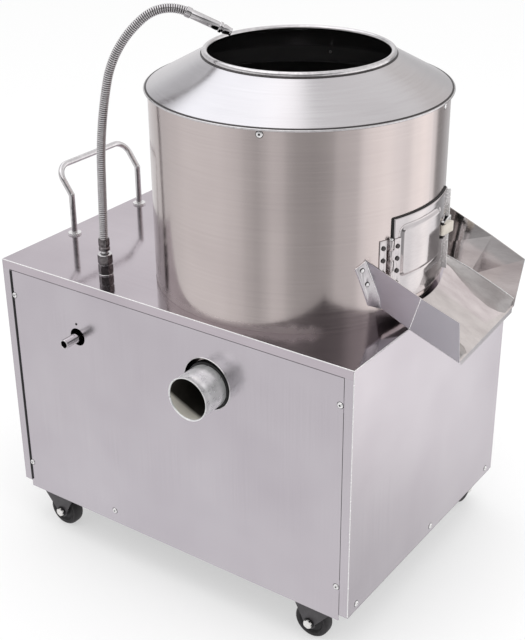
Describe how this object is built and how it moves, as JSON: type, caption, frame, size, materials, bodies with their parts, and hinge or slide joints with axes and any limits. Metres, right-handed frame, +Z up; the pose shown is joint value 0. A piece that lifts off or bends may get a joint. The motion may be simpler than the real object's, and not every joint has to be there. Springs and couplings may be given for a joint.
{
  "type": "electric potato peeler",
  "caption": "Wheeled sheet-steel machine that peels potatoes: an abrasive disc turns in an upright barrel with a water hose, a side door and a discharge chute.",
  "frame": {"origin": "centre of the footprint at the floor, under the casters", "axes": "+X from the handle end towards the chute, +Y from the drain face towards the switch face, +Z up"},
  "size_m": [0.7671, 0.588, 0.9343],
  "materials": {
    "stainless_skin": "brushed stainless sheet",
    "stainless_polished": "polished stainless sheet",
    "drain_steel": "galvanised tube with a bright cut edge",
    "hose_chrome": "chromed ribbed metal hose",
    "bright_hardware": "zinc and stainless fasteners",
    "caster_zinc": "zinc plated plates and bolts",
    "painted_frame": "grey painted mild steel",
    "cast_iron": "machined grey iron",
    "ground_steel": "ground steel",
    "motor_paint": "blue-grey enamel",
    "abrasive": "silicon carbide grit bonded in resin",
    "black_rubber": "black rubber",
    "black_plastic": "moulded black plastic",
    "ivory_plastic": "moulded ivory plastic",
    "green_plastic": "moulded green plastic",
    "red_plastic": "moulded red plastic",
    "black_steel": "black painted pressed steel",
    "caster_rubber": "black rubber tread on a plastic core"
  },
  "bodies": {
    "stand": {"chassis_frame": "painted_frame", "spindle_deck": "painted_frame", "top_plate": "stainless_skin", "left_side_panel": "stainless_skin", "right_side_panel": "stainless_skin", "front_panel": "stainless_skin", "rear_panel": "stainless_skin", "panel_screws": "bright_hardware", "barrel_shell": "stainless_skin", "barrel_floor": "stainless_skin", "abrasive_liner": "abrasive", "drain_pipe": "drain_steel", "hopper_cone": "stainless_polished", "mouth_rim": "stainless_polished", "hopper_screws": "bright_hardware", "hinge_leaf_fixed": "stainless_polished", "hinge_pin": "bright_hardware", "fixed_rivets": "bright_hardware", "latch_keeper": "black_plastic", "discharge_chute": "stainless_polished", "push_handle": "stainless_polished", "handle_nuts": "bright_hardware", "hose_nuts": "bright_hardware", "water_inlet": "bright_hardware", "feed_pipe": "black_rubber", "bearing_housing": "cast_iron", "spindle_bearings": "ground_steel", "shaft_seal": "black_rubber", "drive_belt": "black_rubber", "motor_body": "motor_paint", "deck_bolts": "bright_hardware", "switch_box": "black_plastic", "cable_gland": "black_plastic", "caster_plates": "caster_zinc"},
    "door": {"door_plate": "stainless_polished", "door_gasket": "black_rubber", "hinge_leaf_door": "stainless_polished", "door_rivets": "bright_hardware", "latch_bracket": "bright_hardware"},
    "latch": {"latch_grip": "ivory_plastic", "latch_strap": "bright_hardware"},
    "gooseneck": {"gooseneck_hose": "hose_chrome", "water_spout": "stainless_polished", "spout_collar": "bright_hardware"},
    "rotor": {"peeling_disc": "abrasive", "spindle": "ground_steel", "disc_nut": "bright_hardware", "spindle_pulley": "cast_iron"},
    "motor_rotor": {"motor_shaft": "ground_steel", "motor_pulley": "cast_iron"},
    "start_push": {"start_button": "green_plastic"},
    "stop_push": {"stop_button": "red_plastic"},
    "fork_1": {"caster_fork_1": "black_steel"},
    "wheel_1": {"caster_wheel_1": "caster_rubber"},
    "fork_2": {"caster_fork_2": "black_steel"},
    "wheel_2": {"caster_wheel_2": "caster_rubber"},
    "fork_3": {"caster_fork_3": "black_steel"},
    "wheel_3": {"caster_wheel_3": "caster_rubber"},
    "fork_4": {"caster_fork_4": "black_steel"},
    "wheel_4": {"caster_wheel_4": "caster_rubber"}
  },
  "joints": [
    {"name": "door_hinge", "type": "hinge", "parent": "stand", "child": "door", "pos_m": [0.26626, -0.09505, 0.602], "axis": [0, 0, -1], "range_deg": [0, 80]},
    {"name": "latch_hinge", "type": "hinge", "parent": "door", "child": "latch", "pos_m": [0.28135, 0.03209, 0.616], "axis": [0, 0, -1], "range_deg": [0, 95]},
    {"name": "hose_swivel", "type": "hinge", "parent": "stand", "child": "gooseneck", "pos_m": [-0.189, -0.19485, 0.526], "axis": [0, 0, 1], "range_deg": [-90, 100]},
    {"name": "disc_spin", "type": "hinge", "parent": "stand", "child": "rotor", "pos_m": [0.053, -0.01025, 0.386], "axis": [0, 0, 1], "continuous": true},
    {"name": "motor_spin", "type": "hinge", "parent": "stand", "child": "motor_rotor", "pos_m": [-0.274, -0.01025, 0.201], "axis": [0, 0, 1], "continuous": true},
    {"name": "start_press", "type": "slide", "parent": "stand", "child": "start_push", "axis": [0, -1, 0], "range_m": [0, 0.004], "stiffness_N_per_m": 300},
    {"name": "stop_press", "type": "slide", "parent": "stand", "child": "stop_push", "axis": [0, -1, 0], "range_m": [0, 0.004], "stiffness_N_per_m": 300},
    {"name": "caster_swivel_1", "type": "hinge", "parent": "stand", "child": "fork_1", "pos_m": [-0.327, -0.21625, 0.071], "axis": [0, 0, 1], "continuous": true},
    {"name": "caster_roll_1", "type": "hinge", "parent": "fork_1", "child": "wheel_1", "pos_m": [-0.303, -0.21625, 0.03], "axis": [0, 1, 0], "continuous": true},
    {"name": "caster_swivel_2", "type": "hinge", "parent": "stand", "child": "fork_2", "pos_m": [0.247, -0.21625, 0.071], "axis": [0, 0, 1], "continuous": true},
    {"name": "caster_roll_2", "type": "hinge", "parent": "fork_2", "child": "wheel_2", "pos_m": [0.223, -0.21625, 0.03], "axis": [0, -1, 0], "continuous": true},
    {"name": "caster_swivel_3", "type": "hinge", "parent": "stand", "child": "fork_3", "pos_m": [-0.327, 0.21675, 0.071], "axis": [0, 0, 1], "continuous": true},
    {"name": "caster_roll_3", "type": "hinge", "parent": "fork_3", "child": "wheel_3", "pos_m": [-0.327, 0.19275, 0.03], "axis": [1, 0, 0], "continuous": true},
    {"name": "caster_swivel_4", "type": "hinge", "parent": "stand", "child": "fork_4", "pos_m": [0.247, 0.21675, 0.071], "axis": [0, 0, 1], "continuous": true},
    {"name": "caster_roll_4", "type": "hinge", "parent": "fork_4", "child": "wheel_4", "pos_m": [0.247, 0.24075, 0.03], "axis": [-1, 0, 0], "continuous": true}
  ],
  "couplings": [
    {"joint": "motor_spin", "follows": "disc_spin", "ratio": 3.75}
  ]
}
